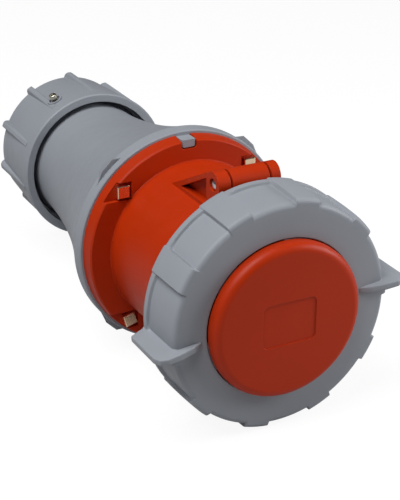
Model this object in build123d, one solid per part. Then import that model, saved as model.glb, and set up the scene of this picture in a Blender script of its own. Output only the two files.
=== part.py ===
from build123d import *
import os
from collections import namedtuple
from math import asin, cos, pi, radians, sin, sqrt

# Pin and sleeve cable connector: four poles and a pilot, hinged lid, bayonet ring and cable gland.
# Lengths are millimetres. The connector lies on its side, as it is stored on a bench.
# The origin is on its axis, in the plane of the collar's front rim, where a plug's flange seats.
# +Y runs back to the cable entry, +Z is up through the lid's hinge and +X is right, seen from the lid.
# Clock angles are degrees about the axis, clockwise from the top, seen from the lid.

# Angles
FULL_TURN = 360.0
QUARTER_TURN = 90.0

# Clearances
RUN_GAP = 0.3
PIN_FIT = 0.05
SEAT_GAP = 0.15

# Collar and flange of the front housing
COLLAR_R = 49.0
COLLAR_WALL = 3.0
COLLAR_LENGTH = 94.7
FLANGE_WIDTH = 12.2
FLANGE_DRAFT = 1.0
FLANGE_THICK = 8.2
FLANGE_EDGE = 0.8
ROOT_FILLET = 0.4
SOCKET_DEPTH = 76.0
KEYWAY_WIDTH = 8.0
KEYWAY_DEPTH = 3.2
KEYWAY_WALL = 2.4

# Ramps on the collar that a bayonet ring's lugs run behind
LUG_CLOCKS = (30.0, 120.0, 210.0, 300.0)
RAMP_HEIGHT = 5.8
RAMP_FRONT = 9.0
RAMP_THICK = 5.2
RAMP_RISE = 1.6
RAMP_LEAD = 9.5
RAMP_SPAN = 36.0
RAMP_STOP_SPAN = 2.5
RAMP_STOP_HEIGHT = 5.0

# Hinge
HINGE_Y = 31.3
HINGE_HEIGHT = 12.2
KNUCKLE_R = 7.1
KNUCKLE_WIDTH = 21.4
LEFT_EAR_WIDTH = 7.0
RIGHT_EAR_WIDTH = 5.2
EAR_GAP = 1.3
HINGE_PIN_R = 2.5
HINGE_HEAD_R = 3.4
HINGE_HEAD_LENGTH = 2.6
HINGE_HEAD_SUNK = 1.2
GUSSET_TAIL_Y = 79.0
GUSSET_RIM = 2.6
GUSSET_WEB = 2.6

# Lid
LID_R = 43.1
LID_EDGE = 4.6
LID_FACE_THICK = 7.4
LID_WALL = 3.0
LID_GROOVE = 2.7
LID_NECK_LENGTH = 4.2
LID_PLATE_RIM = 1.4
LID_PLATE_THICK = 4.9
LID_NECK_WALL = 2.9
LID_RIBS = 6
LID_RIB_THICK = 1.8
LID_HUB_R = 6.0
LABEL_WIDTH = 31.0
LABEL_HEIGHT = 24.0
LABEL_CORNER = 3.0
LABEL_DEPTH = 0.5
STRAP_GAP = 3.3
STRAP_THICK = 4.2
GASKET_INSIDE = 3.4
GASKET_OUTSIDE = 3.6
GASKET_THICK = 2.8
GASKET_PROUD = 0.4

# Bayonet ring
RAMP_SPACE = 3.5
RING_WALL = 6.7
RING_FRONT_WALL = 3.8
RING_CHAMFER_WIDTH = 5.0
RING_CHAMFER_LENGTH = 5.5
RING_REAR = 21.0
RING_SNAPS = 6
RING_SNAP_SPAN = 22.0
RING_SNAP_THICK = 2.6
RING_SNAP_INSET = 0.9
PANELS = 10
PAD_CLOCK = 12.5
PAD_SPAN = 13.0
PANEL_DEPTH = 3.5
PANEL_REAR_DEPTH = 1.7
PANEL_REAR = 16.6
PANEL_CORNER = 2.4
RING_LIP_DEPTH = 0.7
LUG_GAP = 3.6
LUG_SPAN = 13.0
LUG_THICK = 4.0
FIN_PADS = (2, 7)
FIN_HEIGHT = 8.4
FIN_THICK = 3.4
FIN_REAR = 16.5
FIN_FRONT = -15.4
FIN_ROOT_STEP = 3.0
FIN_CORNER = 6.0

# Square-head screws in pockets of the flange, with square nuts inside the rear housing
BOLTS = 4
BOLT_CLOCK = 43.2
BOLT_INSET = 5.4
BOLT_R = 2.5
BOLT_TAIL = 14.0
HEAD_SIDE = 6.8
HEAD_THICK = 3.6
HEAD_EDGE = 0.3
HEAD_TURNS = (0.0, 0.0, 17.0, 0.0)
HEAD_POCKET_DEPTH = 2.4
HEAD_POCKET_SIDE = 10.4
NUT_SIDE = 8.0
NUT_THICK = 4.0
NUT_SETBACK = 6.4

# Rear housing
FLANGE_GASKET_STEP = 3.2
FLANGE_GASKET_WIDTH = 2.4
FLANGE_GASKET_THICK = 1.8
REAR_STEP = 1.8
REAR_BAND = 8.5
REAR_WALL = 3.4
REAR_LIP_WIDTH = 3.0
REAR_LIP_THICK = 4.6
REAR_TAPER_END = 226.0
REAR_MID_R = 46.9
BOSS_CORNERS = ((34.3, 0.0), (38.0, 3.0), (45.7, 2.5), (52.2, 0.0))
BOSS_FRONT = 4.3
BOSS_LENGTH = 20.0
BOSS_FALL = 6.5
BOSS_ROOT = 4.0
PILLAR_WIDTH = 12.8
PILLAR_LENGTH = 15.0
TAB_WIDTH = 8.0
TAB_REACH = 4.2
TAB_GAP = 0.7
TAB_CORNER = 1.2
NECK_R = 39.0
NECK_BORE_R = 35.0
NECK_END = 264.0
NECK_STEP = 238.0
THREAD_R = 40.6
THREAD_START = 239.5

# Contact carrier, terminal block and their retaining plate
PLUG_SPACE = 5.0
CARRIER_FRONT = 4.0
FACE_THICK = 4.0
CONTACT_CIRCLE_R = 25.0
PLATE_LAND = 4.0
PLATE_THICK = 4.0
CARRIER_SCREWS = 4
CARRIER_SCREW_LENGTH = 8.0
CARRIER_SCREW_SPARE = 2.0
CARRIER_SCREW_R = 1.7
CARRIER_SCREW_INSET = 6.4
CARRIER_SCREW_CLOCK = 45.0

# Contacts
PHASE_PIN_R = 5.0
EARTH_PIN_R = 6.0
PILOT_PIN_R = 3.0
PIN_CLEARANCE = 0.05
PIN_LEAD_IN = 0.8
SLEEVE_WALL = 2.6
SLEEVE_PAST_SOCKET = 4.0
SLEEVE_BOTTOM = 8.0
COLLAR_OF_CONTACT_LENGTH = 4.0
COLLAR_OF_CONTACT_STEP = 1.6
TERMINAL_WALL = 3.2
TERMINAL_WIRE_R = 6.2
PILOT_WIRE_R = 3.0
PILOT_TERMINAL_WALL = 3.0
TERMINAL_LENGTH = 16.25
PILOT_TERMINAL_LENGTH = 9.25
TERMINAL_SCREW_R = 3.0
PILOT_SCREW_R = 1.6
TERMINAL_SCREWS = 2
TERMINAL_SCREW_SPACING = 8.0
TERMINAL_SCREW_END = 5.0
TERMINAL_SCREW_LENGTH = 6.4

# Cable gland
GLAND_FRONT = 227.4
GLAND_END = 280.6
GLAND_FRONT_R = 47.7
GLAND_END_R = 43.5
GLAND_MOUTH_R = 42.7
GLAND_MOUTH_LENGTH = 12.0
GLAND_WALL_THICK = 4.6
GLAND_OPENING_R = 28.0
GLAND_RIBS = 10
GLAND_RIB_CLOCK = 5.7
GLAND_RIB_R = 47.5
GLAND_RIB_WIDTH = 3.4
GLAND_RIB_FOOT = 5.8
GLAND_RIB_START = 236.0
GLAND_ROUND = 2.0
LOCK_SCREW_CLOCK = 334.6
LOCK_SCREW_Y = 243.0
LOCK_SCREW_R = 1.9
LOCK_SCREW_HEAD_R = 2.4
LOCK_HEAD_LIFT = 0.9
LOCK_HEAD_LENGTH = 2.6
LOCK_BOSS_R = 4.8
LOCK_BOSS_HEIGHT = 0.3
LOCK_WELL_R = 3.6
LOCK_WELL_DEPTH = 1.6
THRUST_R = 37.6
THRUST_INNER_R = 30.2
THRUST_THICK = 6.0
CAGE_R = 34.7
CAGE_INNER_R = 31.2
CAGE_BASE = 7.0
CAGE_FINGERS = 12
CAGE_SLOT = 2.4
SEAL_R = 30.9
SEAL_BORE_R = 16.0
SEAL_RIMS = (20.0, 24.0)
SEAL_RIM_CUT = 1.2
SEAL_RIM_DEPTH = 4.0

# Sizes that follow from the ones above
FLANGE_REAR = COLLAR_LENGTH + FLANGE_THICK
FLANGE_R = COLLAR_R + FLANGE_WIDTH
FLANGE_REAR_R = FLANGE_R + FLANGE_DRAFT
COLLAR_BORE_R = COLLAR_R - COLLAR_WALL
RAMP_R = COLLAR_R + RAMP_HEIGHT
LUG_R = COLLAR_R + LUG_GAP
HINGE_Z = COLLAR_R + HINGE_HEIGHT
GASKET_IN_R = COLLAR_BORE_R - GASKET_INSIDE
GASKET_OUT_R = COLLAR_R + GASKET_OUTSIDE
LID_PLATE_R = GASKET_OUT_R + LID_PLATE_RIM
LID_NECK_R = LID_R - LID_GROOVE
LID_CAVITY_R = LID_NECK_R - LID_NECK_WALL
CARRIER_R = COLLAR_BORE_R - PLUG_SPACE
PLATE_R = COLLAR_BORE_R + PLATE_LAND
CARRIER_SCREW_CIRCLE_R = COLLAR_BORE_R - CARRIER_SCREW_INSET
FLANGE_GASKET_R = PLATE_R + FLANGE_GASKET_STEP
REAR_LIP_R = PLATE_R - REAR_LIP_WIDTH
TAB_BOTTOM = FLANGE_R - TAB_REACH
REAR_FRONT = FLANGE_REAR
REAR_R = FLANGE_REAR_R + REAR_STEP
BOLT_CIRCLE_R = FLANGE_R - BOLT_INSET
PLATE_REAR = -GASKET_THICK + GASKET_PROUD + 1.8
GASKET_REAR = -SEAT_GAP
PLATE_FRONT = PLATE_REAR - LID_PLATE_THICK
LIP_REAR = PLATE_FRONT - LID_NECK_LENGTH
LID_FACE = LIP_REAR - LID_FACE_THICK
RING_WALL_REAR = PLATE_FRONT - RUN_GAP
RING_FRONT = RING_WALL_REAR - RING_FRONT_WALL
RING_MOUTH_R = LID_R + RUN_GAP
RING_INNER_R = RAMP_R + RAMP_SPACE
RING_R = RING_INNER_R + RING_WALL
RING_CHAMFER_R = RING_R - RING_CHAMFER_WIDTH
LUG_FRONT = RAMP_FRONT + RAMP_THICK + RAMP_RISE + RUN_GAP
EAR_INNER = KNUCKLE_WIDTH / 2 + EAR_GAP
LEFT_EAR_END = -EAR_INNER - LEFT_EAR_WIDTH
RIGHT_EAR_END = EAR_INNER + RIGHT_EAR_WIDTH
FACE_REAR = CARRIER_FRONT + FACE_THICK
PLATE_OUTSIDE = FLANGE_REAR - SEAT_GAP
PLATE_SEAT = PLATE_OUTSIDE - PLATE_THICK
SLEEVE_END = SOCKET_DEPTH + SLEEVE_PAST_SOCKET
TERMINAL_END = PLATE_OUTSIDE + TERMINAL_LENGTH
PILOT_TERMINAL_END = PLATE_OUTSIDE + PILOT_TERMINAL_LENGTH
HEAD_SEAT = COLLAR_LENGTH + HEAD_POCKET_DEPTH
NUT_FRONT = REAR_FRONT + NUT_SETBACK
BOLT_CLOCKS = [BOLT_CLOCK + index * FULL_TURN / BOLTS for index in range(BOLTS)]
THRUST_REAR = GLAND_END - GLAND_WALL_THICK - SEAT_GAP
THRUST_FRONT = THRUST_REAR - THRUST_THICK
LOCK_BOSS_TOP = GLAND_FRONT_R + LOCK_BOSS_HEIGHT


def lathe(points, start=None, span=FULL_TURN):
    """Turn a closed outline of (radius, y) points about the connector's axis."""
    body = revolve(make_face(Polyline(*points, close=True)), Axis.Y, span)
    if start is None:
        return body
    return clock(body, start - QUARTER_TURN)


def tube(outer, inner, front, rear):
    """A plain ring about the axis."""
    return lathe([(inner, front), (outer, front), (outer, rear), (inner, rear)])


def rod(radius, front, rear):
    """A cylinder along the axis."""
    return Pos(0, front, 0) * Rot(X=-QUARTER_TURN) * Cylinder(
        radius, rear - front, align=(Align.CENTER, Align.CENTER, Align.MIN)
    )


def cross_rod(radius, left, right, y, z):
    """A cylinder parallel to the hinge."""
    return Pos(left, y, z) * Rot(Y=QUARTER_TURN) * Cylinder(
        radius, right - left, align=(Align.CENTER, Align.CENTER, Align.MIN)
    )


def radial_rod(radius, low, high, y):
    """A cylinder that stands out from the axis at the top."""
    return Pos(0, y, low) * Cylinder(
        radius, high - low, align=(Align.CENTER, Align.CENTER, Align.MIN)
    )


def block(left, right, front, rear, bottom, top):
    """A box between six planes."""
    size = (right - left, rear - front, top - bottom)
    middle = ((left + right) / 2, (front + rear) / 2, (bottom + top) / 2)
    return Pos(*middle) * Box(*size)


def clock(shape, angle):
    """Turn a shape about the axis by a clock angle."""
    return Rot(Y=angle) * shape


def at_clock(shape, angle, radius):
    """Move a shape made on the axis out to a clock angle, without turning it."""
    return Pos(radius * sin(radians(angle)), 0, radius * cos(radians(angle))) * shape


def side_profile(points, left, right):
    """Extrude an outline of (y, z) points from left to right."""
    face = Plane.YZ * make_face(Polyline(*points, close=True))
    return Pos(left, 0, 0) * extrude(face, right - left)


def hinge_tangent(tail_y, tail_z, radius):
    """The point where a line from a tail point touches the top of a circle about the hinge."""
    dy = tail_y - HINGE_Y
    dz = tail_z - HINGE_Z
    distance = sqrt(dy * dy + dz * dz)
    heading = asin(radius / distance)
    base = -asin(-dz / distance)
    angle = base + pi / 2 - heading
    return HINGE_Y + radius * cos(angle), HINGE_Z + radius * sin(angle)


def rounded_foot(shape, radius):
    """Round the two lower edges of a block that run along the connector."""
    return fillet(shape.edges().filter_by(Axis.Y).sort_by(Axis.Z)[:2], radius)


def make_ear(left, right):
    """One hinge ear with its gusset down to the collar, pocketed from outside."""
    outer = max(abs(left), abs(right))
    foot_z = sqrt((COLLAR_R - COLLAR_WALL / 2) ** 2 - outer**2)
    surface_z = sqrt(COLLAR_R**2 - outer**2)
    touch = hinge_tangent(GUSSET_TAIL_Y, surface_z, KNUCKLE_R)
    outline = [
        (HINGE_Y - KNUCKLE_R, HINGE_Z),
        (HINGE_Y - KNUCKLE_R, foot_z),
        (GUSSET_TAIL_Y, foot_z),
        (GUSSET_TAIL_Y, surface_z),
        touch,
        (HINGE_Y, HINGE_Z),
    ]
    ear = side_profile(outline, left, right)
    ear += cross_rod(KNUCKLE_R, left, right, HINGE_Y, HINGE_Z)
    pocket_tail = GUSSET_TAIL_Y - GUSSET_RIM * 4.4
    floor_z = surface_z + GUSSET_RIM * 0.9
    inner_touch = hinge_tangent(pocket_tail, floor_z, KNUCKLE_R - GUSSET_RIM)
    pocket_front = HINGE_Y + KNUCKLE_R
    slope = (inner_touch[1] - floor_z) / (inner_touch[0] - pocket_tail)
    pocket_top = floor_z + slope * (pocket_front - pocket_tail)
    pocket = [(pocket_front, floor_z), (pocket_tail, floor_z), (pocket_front, pocket_top)]
    if left > 0:
        return ear - side_profile(pocket, left + GUSSET_WEB, right)
    return ear - side_profile(pocket, left, right - GUSSET_WEB)


def make_ramp(start):
    """One wedge on the collar, its rear face rising away from the rim, with an end stop."""
    step = 4
    ramp = None
    for index in range(step):
        share = (index + 1) / step
        rear = RAMP_FRONT + RAMP_THICK + RAMP_RISE * share
        inside = COLLAR_R - COLLAR_WALL / 2
        outline = [(inside, RAMP_FRONT), (RAMP_R, RAMP_FRONT), (RAMP_R, rear), (inside, rear)]
        span = RAMP_SPAN / step
        piece = lathe(outline, start + index * span, span)
        ramp = piece if ramp is None else ramp + piece
    stop = rear + RAMP_STOP_HEIGHT
    outline = [(inside, RAMP_FRONT), (RAMP_R, RAMP_FRONT), (RAMP_R, stop), (inside, stop)]
    return ramp + lathe(outline, start + RAMP_SPAN - RAMP_STOP_SPAN, RAMP_STOP_SPAN)


def make_front_housing():
    """Collar, flange, hinge ears and ramps, moulded in one."""
    root = ROOT_FILLET
    body = lathe([
        (0, 0),
        (COLLAR_R - 0.6, 0),
        (COLLAR_R, 0.6),
        (COLLAR_R, COLLAR_LENGTH - root),
        (COLLAR_R + root * 0.3, COLLAR_LENGTH - root * 0.3),
        (COLLAR_R + root, COLLAR_LENGTH),
        (FLANGE_R - FLANGE_EDGE, COLLAR_LENGTH),
        (FLANGE_R, COLLAR_LENGTH + FLANGE_EDGE),
        (FLANGE_REAR_R, FLANGE_REAR),
        (0, FLANGE_REAR),
    ])
    key_out = COLLAR_BORE_R + KEYWAY_DEPTH + KEYWAY_WALL
    key_half = KEYWAY_WIDTH / 2 + KEYWAY_WALL
    key_rib = block(-key_half, key_half, 0, SOCKET_DEPTH + 2, -key_out, -COLLAR_R + 1)
    body += key_rib
    for angle in LUG_CLOCKS:
        body += make_ramp(angle + RAMP_LEAD)
    body += make_ear(LEFT_EAR_END, -EAR_INNER)
    body += make_ear(EAR_INNER, RIGHT_EAR_END)
    body -= rod(COLLAR_BORE_R, -1, FLANGE_REAR + 1)
    body -= rod(PLATE_R + SEAT_GAP, PLATE_SEAT, FLANGE_REAR + 1)
    half = KEYWAY_WIDTH / 2
    body -= block(-half, half, -1, SOCKET_DEPTH, -COLLAR_BORE_R - KEYWAY_DEPTH, -COLLAR_BORE_R + 2)
    body -= cross_rod(HINGE_PIN_R, LEFT_EAR_END, RIGHT_EAR_END, HINGE_Y, HINGE_Z)
    well_end = LEFT_EAR_END + HINGE_HEAD_LENGTH + HINGE_HEAD_SUNK
    body -= cross_rod(HINGE_HEAD_R + 2 * PIN_FIT, LEFT_EAR_END, well_end, HINGE_Y, HINGE_Z)
    for angle in BOLT_CLOCKS:
        body -= at_clock(rod(BOLT_R + PIN_FIT, COLLAR_LENGTH - 1, FLANGE_REAR + 1), angle, BOLT_CIRCLE_R)
        body -= head_pocket(angle)
    notch = TAB_WIDTH / 2 + TAB_GAP
    cut = block(-notch, notch, COLLAR_LENGTH - 1, FLANGE_REAR + 1, TAB_BOTTOM - TAB_GAP, REAR_R)
    body -= rounded_foot(cut, TAB_CORNER + TAB_GAP)
    return body


def head_pocket(angle):
    """A square pocket in the flange's face, open sideways through the rim."""
    x = BOLT_CIRCLE_R * sin(radians(angle))
    z = BOLT_CIRCLE_R * cos(radians(angle))
    half = HEAD_POCKET_SIDE / 2
    left = x - half if x > 0 else -FLANGE_REAR_R
    right = FLANGE_REAR_R if x > 0 else x + half
    return block(left, right, COLLAR_LENGTH - 1, HEAD_SEAT, z - half, z + half)


def make_flange_screws():
    """Square-head screws that pass the flange from the front."""
    half = HEAD_SIDE / 2
    head = block(-half, half, HEAD_SEAT - HEAD_THICK, HEAD_SEAT, -half, half)
    head = chamfer(head.faces().sort_by(Axis.Y)[0].edges(), HEAD_EDGE)
    screw = head + rod(BOLT_R, HEAD_SEAT, REAR_FRONT + BOLT_TAIL)
    screws = []
    for angle, turn in zip(BOLT_CLOCKS, HEAD_TURNS):
        screws.append(at_clock(Rot(Y=turn) * screw, angle, BOLT_CIRCLE_R))
    return Compound(screws)


def make_flange_nuts():
    """Square nuts in slots of the rear housing's pillars."""
    half = NUT_SIDE / 2
    rear = NUT_FRONT + NUT_THICK
    nut = block(-half, half, NUT_FRONT, rear, BOLT_CIRCLE_R - half, BOLT_CIRCLE_R + half)
    nut -= Pos(0, 0, BOLT_CIRCLE_R) * rod(BOLT_R + PIN_FIT, NUT_FRONT - 1, rear + 1)
    return Compound([clock(nut, angle) for angle in BOLT_CLOCKS])


def make_housing_gasket():
    """Seal in the rear housing's face, pressed on the flange."""
    inner = FLANGE_GASKET_R - FLANGE_GASKET_WIDTH
    gasket = tube(FLANGE_GASKET_R, inner, FLANGE_REAR, FLANGE_REAR + FLANGE_GASKET_THICK)
    return chamfer(gasket.edges().filter_by(GeomType.CIRCLE), 0.4)


def rear_outline(inset):
    """The rear housing's outer curve, from its band to the neck, moved inwards by a wall."""
    start = REAR_FRONT + REAR_BAND
    middle = (start + REAR_TAPER_END) / 2
    return ThreePointArc(
        (REAR_R - inset, start),
        (REAR_MID_R - inset, middle),
        (NECK_R - inset, REAR_TAPER_END),
    )


def boss_outline(x_side, z_side, y, heights, root):
    """A corner boss's outline in a plane across the axis, from its corners' heights above the band."""
    corners = [(BOSS_CORNERS[0][0], root)]
    corners += [(angle, height) for (angle, _), height in zip(BOSS_CORNERS, heights)]
    corners.append((BOSS_CORNERS[-1][0], root))
    points = []
    for angle, height in corners:
        radius = REAR_R + height
        points.append((x_side * radius * sin(radians(angle)), z_side * radius * cos(radians(angle))))
    return Pos(0, y, 0) * (Plane.XZ * make_face(Polyline(*points, close=True)))


def make_corner_boss(x_side, z_side):
    """A boss beside a screw: flat above, bevelled at its corner, and falling back into the taper."""
    front = REAR_FRONT + BOSS_FRONT
    rear = front + BOSS_LENGTH
    heights = [height for _, height in BOSS_CORNERS]
    sunk = [-BOSS_FALL] * len(BOSS_CORNERS)
    return loft(
        [
            boss_outline(x_side, z_side, front, heights, -BOSS_ROOT),
            boss_outline(x_side, z_side, rear, sunk, -BOSS_FALL - BOSS_ROOT),
        ],
        ruled=True,
    )


def make_pillar():
    """The solid block inside the shell at the top, for one screw."""
    half = PILLAR_WIDTH / 2
    return block(-half, half, REAR_FRONT - 2, REAR_FRONT + PILLAR_LENGTH, REAR_LIP_R, REAR_R + 1)


def make_nut_slot():
    """The slot of a pillar at the top that takes the nut from inside, with the screw's hole."""
    half = NUT_SIDE / 2 + SEAT_GAP
    rear = NUT_FRONT + NUT_THICK + SEAT_GAP
    slot = block(-half, half, NUT_FRONT, rear, REAR_LIP_R - 1, BOLT_CIRCLE_R + half)
    hole = rod(BOLT_R + PIN_FIT, REAR_FRONT - 1, REAR_FRONT + PILLAR_LENGTH + 1)
    return slot + Pos(0, 0, BOLT_CIRCLE_R) * hole


def make_rear_housing():
    """Grey shell: band against the flange, trumpet to the neck, thread and screw bosses."""
    start = REAR_FRONT + REAR_BAND
    outer = make_face([
        rear_outline(0),
        Polyline(
            (NECK_R, REAR_TAPER_END),
            (NECK_R, THREAD_START),
            (THREAD_R, THREAD_START + 1.6),
            (THREAD_R, NECK_END - 1.0),
            (THREAD_R - 1.0, NECK_END),
            (0, NECK_END),
            (0, REAR_FRONT),
            (REAR_R - 0.6, REAR_FRONT),
            (REAR_R, REAR_FRONT + 0.6),
            (REAR_R, start),
        ),
    ])
    inner = make_face([
        rear_outline(REAR_WALL),
        Polyline(
            (NECK_R - REAR_WALL, REAR_TAPER_END),
            (NECK_BORE_R - REAR_WALL, NECK_STEP - 2),
            (NECK_BORE_R - REAR_WALL, NECK_STEP),
            (0, NECK_STEP),
            (0, REAR_FRONT - 1),
            (REAR_LIP_R, REAR_FRONT - 1),
            (REAR_LIP_R, REAR_FRONT + REAR_LIP_THICK),
            (REAR_R - REAR_WALL, REAR_FRONT + REAR_LIP_THICK),
            (REAR_R - REAR_WALL, start),
        ),
    ])
    shell = revolve(outer, Axis.Y, FULL_TURN)
    for x_side in (-1, 1):
        for z_side in (-1, 1):
            shell += make_corner_boss(x_side, z_side)
    hollow = revolve(inner, Axis.Y, FULL_TURN)
    for angle in BOLT_CLOCKS:
        hollow -= clock(make_pillar(), angle)
    shell -= hollow
    shell -= rod(NECK_BORE_R, NECK_STEP, NECK_END + 1)
    groove_r = FLANGE_GASKET_R - FLANGE_GASKET_WIDTH - SEAT_GAP
    groove_end = REAR_FRONT + FLANGE_GASKET_THICK + SEAT_GAP
    shell -= tube(FLANGE_GASKET_R + SEAT_GAP, groove_r, REAR_FRONT - 1, groove_end)
    for angle in BOLT_CLOCKS:
        shell -= clock(make_nut_slot(), angle)
    half = TAB_WIDTH / 2
    tab = block(-half, half, COLLAR_LENGTH + TAB_GAP, REAR_FRONT + 1, TAB_BOTTOM, FLANGE_REAR_R - TAB_GAP)
    return shell + rounded_foot(tab, TAB_CORNER)


Contact = namedtuple("Contact", "name clock circle_r pin_r wire_r terminal_r end screw_r screws")


def contact_table():
    """The four poles, earth beside the keyway, and the pilot on the axis."""
    phase_r = TERMINAL_WIRE_R + TERMINAL_WALL
    earth_r = phase_r + EARTH_PIN_R - PHASE_PIN_R
    pilot_r = PILOT_WIRE_R + PILOT_TERMINAL_WALL
    poles = [("contact_earth", 180.0, EARTH_PIN_R, earth_r)]
    for index, angle in enumerate((270.0, 0.0, 90.0)):
        poles.append((f"contact_l{index + 1}", angle, PHASE_PIN_R, phase_r))
    table = []
    for name, angle, pin_r, terminal_r in poles:
        table.append(Contact(
            name, angle, CONTACT_CIRCLE_R, pin_r, TERMINAL_WIRE_R, terminal_r,
            TERMINAL_END, TERMINAL_SCREW_R, TERMINAL_SCREWS,
        ))
    table.append(Contact(
        "pilot_contact", CARRIER_SCREW_CLOCK, 0.0, PILOT_PIN_R, PILOT_WIRE_R, pilot_r,
        PILOT_TERMINAL_END, PILOT_SCREW_R, 1,
    ))
    return table


def place_contact(shape, contact):
    """Turn a shape made for the top to a contact's clock angle, and move it to the contact."""
    return at_clock(clock(shape, contact.clock), contact.clock, contact.circle_r)


def contact_collar_rear():
    """The plane where the retaining plate holds the contacts' collars."""
    return PLATE_SEAT - SEAT_GAP


def screw_rows(contact):
    """The places of the clamping screws along a terminal."""
    last = contact.end - TERMINAL_SCREW_END
    return [last - index * TERMINAL_SCREW_SPACING for index in range(contact.screws)]


def make_contact(contact):
    """A brass sleeve with its collar and its wire terminal, turned in one."""
    front = FACE_REAR + SEAT_GAP
    bore = contact.pin_r + PIN_CLEARANCE
    sleeve = bore + SLEEVE_WALL
    terminal = contact.terminal_r
    shoulder = terminal + COLLAR_OF_CONTACT_STEP
    collar_rear = contact_collar_rear()
    collar_front = collar_rear - COLLAR_OF_CONTACT_LENGTH
    pin_end = SLEEVE_END - SLEEVE_BOTTOM
    wire = contact.wire_r
    end = contact.end
    edge = 0.6
    body = lathe([
        (bore + PIN_LEAD_IN, front),
        (sleeve, front),
        (sleeve, SLEEVE_END),
        (terminal, SLEEVE_END),
        (terminal, collar_front),
        (shoulder, collar_front),
        (shoulder, collar_rear),
        (terminal, collar_rear),
        (terminal, end - edge),
        (terminal - edge, end),
        (wire + edge, end),
        (wire, end - edge),
        (wire, collar_front),
        (0, collar_front),
        (0, pin_end),
        (bore, pin_end),
        (bore, front + PIN_LEAD_IN),
    ])
    for row in screw_rows(contact):
        body -= radial_rod(contact.screw_r + PIN_FIT, 0, shoulder, row)
    return place_contact(body, contact)


def make_terminal_screws():
    """Set screws with hexagon sockets, on each terminal's side away from the axis."""
    screws = []
    for contact in contact_table():
        radius = contact.screw_r
        low = contact.wire_r + 0.4
        high = low + TERMINAL_SCREW_LENGTH * radius / TERMINAL_SCREW_R
        for row in screw_rows(contact):
            screw = radial_rod(radius, low, high, row)
            socket = extrude(RegularPolygon(radius * 0.5, 6), radius + 1)
            screw -= Pos(0, row, high - radius) * socket
            screws.append(place_contact(screw, contact))
    return Compound(screws)


def at_carrier_screws(shape):
    """A shape made on the axis, repeated at the retaining plate's screws."""
    angles = [CARRIER_SCREW_CLOCK + index * FULL_TURN / CARRIER_SCREWS for index in range(CARRIER_SCREWS)]
    return [at_clock(shape, angle, CARRIER_SCREW_CIRCLE_R) for angle in angles]


def make_face_plate():
    """Plate on the carrier's front with an entry hole for every pin."""
    plate = rod(CARRIER_R, CARRIER_FRONT, FACE_REAR)
    for contact in contact_table():
        entry_r = contact.pin_r + PIN_CLEARANCE + PIN_LEAD_IN
        plate -= place_contact(rod(entry_r, CARRIER_FRONT - 1, FACE_REAR + 1), contact)
    return plate


def make_contact_carrier():
    """Insulating body in the socket, with a round cell for every sleeve."""
    body = rod(CARRIER_R, FACE_REAR, SOCKET_DEPTH)
    for contact in contact_table():
        cell_r = contact.pin_r + PIN_CLEARANCE + SLEEVE_WALL + SEAT_GAP
        body -= place_contact(rod(cell_r, FACE_REAR - 1, SOCKET_DEPTH + 1), contact)
    return body


def make_terminal_block():
    """Insulating block behind the carrier that the contacts' terminals stand in."""
    body = rod(COLLAR_BORE_R - RUN_GAP, SOCKET_DEPTH, PLATE_SEAT)
    shoulder_seat = contact_collar_rear() - COLLAR_OF_CONTACT_LENGTH
    for contact in contact_table():
        radius = contact.terminal_r + SEAT_GAP
        cell = rod(radius, SOCKET_DEPTH - 1, PLATE_SEAT + 1)
        cell += rod(radius + COLLAR_OF_CONTACT_STEP, shoulder_seat, PLATE_SEAT + 1)
        body -= place_contact(cell, contact)
    hole_depth = CARRIER_SCREW_LENGTH + CARRIER_SCREW_SPARE
    for hole in at_carrier_screws(rod(CARRIER_SCREW_R, PLATE_SEAT - hole_depth, PLATE_SEAT + 1)):
        body -= hole
    return body


def make_retaining_plate():
    """Plate behind the contacts' collars, held between the two housings."""
    plate = rod(PLATE_R, PLATE_SEAT, PLATE_OUTSIDE)
    for contact in contact_table():
        hole = rod(contact.terminal_r + SEAT_GAP, PLATE_SEAT - 1, PLATE_OUTSIDE + 1)
        plate -= place_contact(hole, contact)
    for hole in at_carrier_screws(rod(CARRIER_SCREW_R + PIN_FIT, PLATE_SEAT - 1, PLATE_OUTSIDE + 1)):
        plate -= hole
    return plate


def make_carrier_screws():
    """Slotted screws that hold the terminal block on the retaining plate."""
    head_r = CARRIER_SCREW_R * 2
    head_top = PLATE_OUTSIDE + CARRIER_SCREW_R * 1.4
    slot_half = CARRIER_SCREW_R / 4
    screw = rod(CARRIER_SCREW_R - PIN_FIT, PLATE_SEAT - CARRIER_SCREW_LENGTH, PLATE_OUTSIDE)
    head = rod(head_r, PLATE_OUTSIDE, head_top)
    head -= block(-head_r, head_r, head_top - CARRIER_SCREW_R / 2, head_top + 1, -slot_half, slot_half)
    return Compound(at_carrier_screws(screw + head))


def make_hinge_pin():
    """Steel pin through both ears and the lid's knuckle, its domed head in the left ear."""
    head_end = LEFT_EAR_END + HINGE_HEAD_SUNK
    head_seat = head_end + HINGE_HEAD_LENGTH
    pin = cross_rod(HINGE_PIN_R, head_seat, RIGHT_EAR_END - 0.8, HINGE_Y, HINGE_Z)
    head = cross_rod(HINGE_HEAD_R, head_end, head_seat, HINGE_Y, HINGE_Z)
    head = fillet(head.edges().sort_by(Axis.X)[0], 1.6)
    return pin + head


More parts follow.
